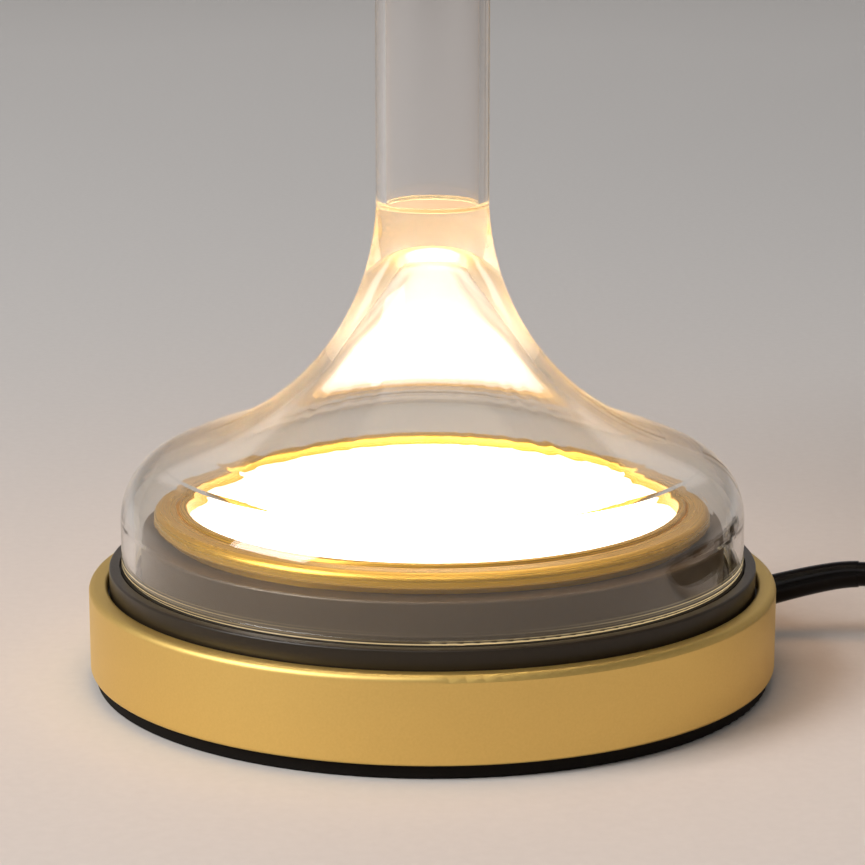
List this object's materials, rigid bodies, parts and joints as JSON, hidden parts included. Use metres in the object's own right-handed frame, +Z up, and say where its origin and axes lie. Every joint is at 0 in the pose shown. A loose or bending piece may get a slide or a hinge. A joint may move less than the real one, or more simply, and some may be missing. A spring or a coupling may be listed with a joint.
{
  "type": "led table lamp",
  "caption": "Table lamp: a round gold base with an upward light under a clear glass bell, whose clear glass tube carries a domed reflector; corded, with an in-line switch.",
  "frame": {"origin": "on the lamp's axis at the underside of the foot pad", "axes": "+Z up, -Y towards the side seen in the picture, +X to its right"},
  "size_m": [0.388, 0.2765, 0.3468],
  "materials": {
    "foot_rubber": "dull black rubber",
    "zinc_steel": "zinc-plated steel",
    "gold_aluminium": "satin gold anodised",
    "cast_iron": "as cast",
    "black_ring": "satin black paint",
    "gasket_rubber": "matt black",
    "bronze_aluminium": "satin bronze anodised",
    "board_white": "white solder mask on aluminium",
    "chip_yellow": "yellow phosphor",
    "white_plastic": "white",
    "diffuser_opal": "opal, lit from below",
    "board_green": "green solder mask",
    "ferrite": "dark ferrite with tape",
    "capacitor_sleeve": "dark sleeve",
    "lead_sleeve": "insulated wire",
    "cord_black": "glossy black sheath",
    "black_plastic": "smooth black",
    "grey_plastic": "grey",
    "clear_glass": "clear blown glass",
    "joint_resin": "pale clear bond",
    "sleeve_clear": "soft clear sleeve",
    "shade_gold": "satin gold outside, white inside",
    "brass": "satin",
    "contact_brass": "bare",
    "pin_nickel": "nickel-plated brass"
  },
  "bodies": {
    "base": {"foot_pad": "foot_rubber", "bottom_plate": "zinc_steel", "bottom_plate_screws": "zinc_steel", "base_ring": "gold_aluminium", "ballast_ring": "cast_iron", "glass_seat_ring": "black_ring", "glass_gasket": "gasket_rubber", "led_housing": "bronze_aluminium", "housing_screws": "zinc_steel", "led_board": "board_white", "led_board_screws": "zinc_steel", "led_chips": "chip_yellow", "reflector_ring": "white_plastic", "diffuser": "diffuser_opal", "bezel": "bronze_aluminium", "driver_case": "white_plastic", "driver_lid": "white_plastic", "driver_board": "board_green", "driver_transformer": "ferrite", "driver_capacitors": "capacitor_sleeve", "driver_choke": "ferrite", "driver_terminal_block": "white_plastic", "led_leads": "lead_sleeve", "mains_leads": "lead_sleeve", "cord_inner": "cord_black", "cord_clamp": "grey_plastic", "cord_clamp_screws": "zinc_steel", "cord_gland": "black_plastic", "cord_lamp_to_switch": "cord_black", "switch_lower_shell": "black_plastic", "switch_upper_shell": "black_plastic", "switch_pin": "zinc_steel", "switch_contacts": "contact_brass", "switch_contact_spring": "contact_brass", "switch_cord_grips": "grey_plastic", "switch_cord_ends": "cord_black", "switch_screws": "zinc_steel", "cord_switch_to_coil": "cord_black", "cord_coil": "cord_black", "coil_tie": "grey_plastic", "cord_coil_to_plug": "cord_black", "plug_strain_relief": "black_plastic", "plug_body": "black_plastic", "plug_pins": "pin_nickel", "plug_pin_sleeves": "black_plastic"},
    "glass_column": {"glass_bell": "clear_glass", "tube_joint_ring": "joint_resin", "glass_tube": "clear_glass"},
    "shade": {"shade_carrier": "gold_aluminium", "carrier_sleeve": "sleeve_clear", "shade": "shade_gold", "shade_washer": "brass", "shade_finial": "brass"},
    "rocker": {"switch_rocker": "black_plastic"}
  },
  "joints": [
    {"name": "glass_lift", "type": "slide", "parent": "base", "child": "glass_column", "axis": [0, 0, 1], "range_m": [0, 0.06]},
    {"name": "shade_lift", "type": "slide", "parent": "glass_column", "child": "shade", "axis": [0, 0, 1], "range_m": [0, 0.03]},
    {"name": "switch_rocker_tilt", "type": "hinge", "parent": "base", "child": "rocker", "pos_m": [0.25404, 0.05095, 0.0136], "axis": [-1, 0, 0], "range_deg": [-14, 0]}
  ]
}
